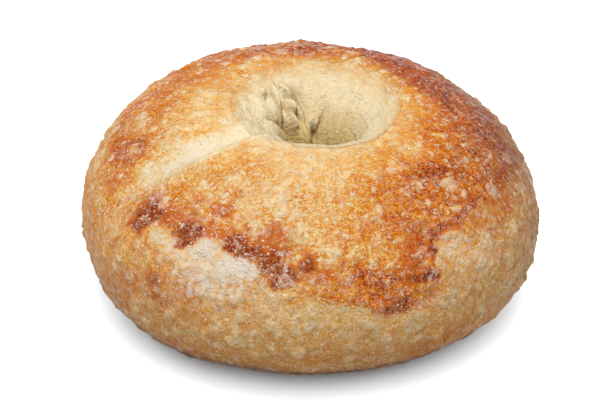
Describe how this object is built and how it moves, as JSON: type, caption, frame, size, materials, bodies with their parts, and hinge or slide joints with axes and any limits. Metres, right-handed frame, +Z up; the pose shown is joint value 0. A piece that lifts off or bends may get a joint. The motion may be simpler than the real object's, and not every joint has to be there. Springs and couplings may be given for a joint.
{
  "type": "bagel",
  "caption": "Plain baked bagel: a plump, uneven ring of dough with a narrow funnel-shaped hole, a lapped seam on one side and a flat base.",
  "frame": {"origin": "centre of the bounding box, at the flat base the bagel rests on", "axes": "+Z up; -Y towards the front, with the browned edge of the top crust; the lapped seam runs out on the -X side"},
  "size_m": [0.1126, 0.1114, 0.047],
  "materials": {
    "crust": "golden baked crust, lightly glossy where it is browned and floury below"
  },
  "bodies": {
    "root": {"bagel": "crust"}
  },
  "joints": []
}
